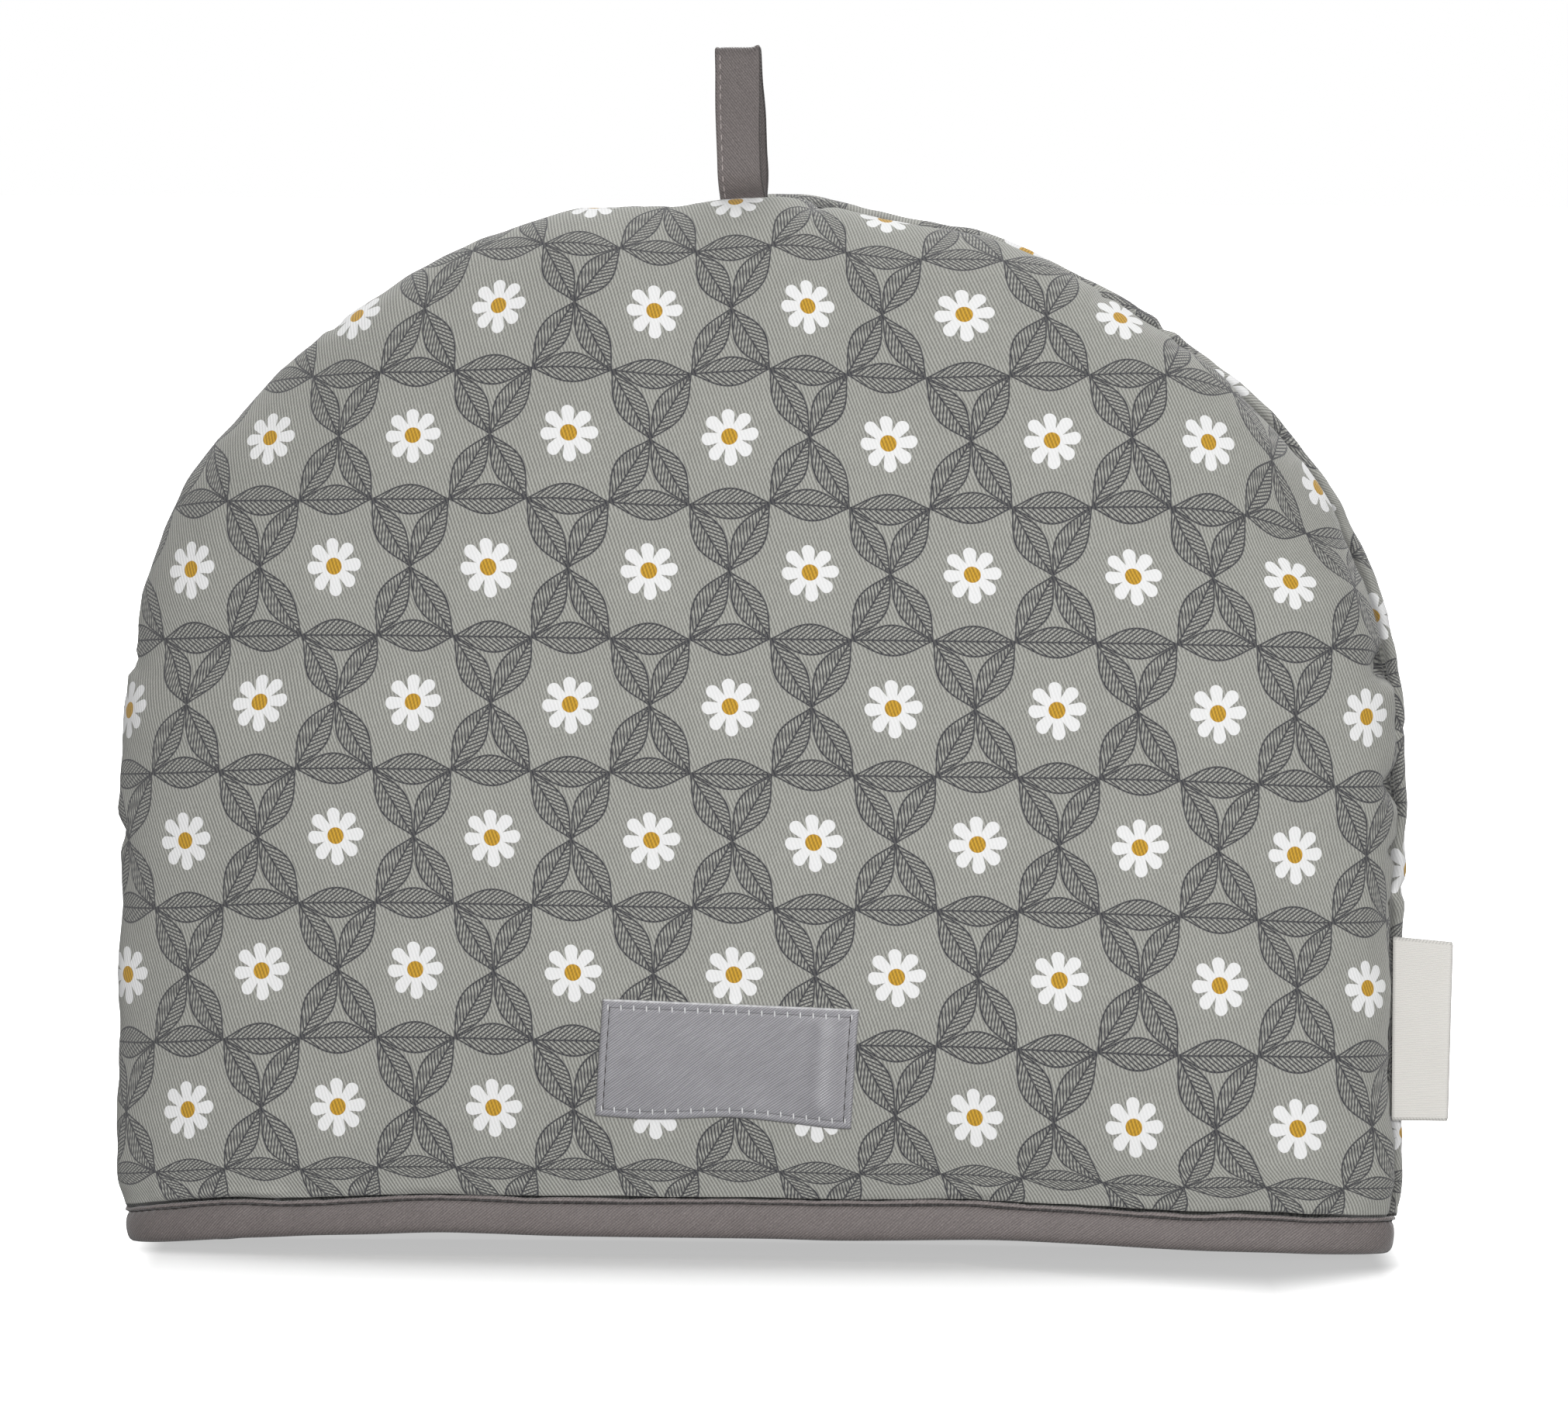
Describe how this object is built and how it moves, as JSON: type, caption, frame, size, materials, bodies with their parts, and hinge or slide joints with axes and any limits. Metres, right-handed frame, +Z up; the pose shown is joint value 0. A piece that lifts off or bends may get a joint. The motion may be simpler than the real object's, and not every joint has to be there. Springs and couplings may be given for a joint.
{
  "type": "tea cosy",
  "caption": "Padded dome-shaped tea cosy of printed cotton with a bound hem, a hanging loop, a sewn front label and a folded side tag.",
  "frame": {"origin": "centre of the bottom of the box of all the pieces, on the surface that the cosy stands on", "axes": "+X to the side with the tag, along the width; +Y from the labelled front to the back; +Z up to the hanging loop"},
  "size_m": [0.3568, 0.1044, 0.3175],
  "materials": {
    "print": "matt grey-green cotton twill, printed with white daisies and fine dark lines",
    "binding": "warm grey sateen cut on the bias, with a slight sheen",
    "label": "mid grey satin twill label, stitched round its border",
    "ribbon": "cream woven ribbon, plain"
  },
  "bodies": {
    "root": {"front_panel": "print", "back_panel": "print", "hem_binding": "binding", "hanging_loop": "binding", "front_label": "label", "side_tag": "ribbon"}
  },
  "joints": []
}
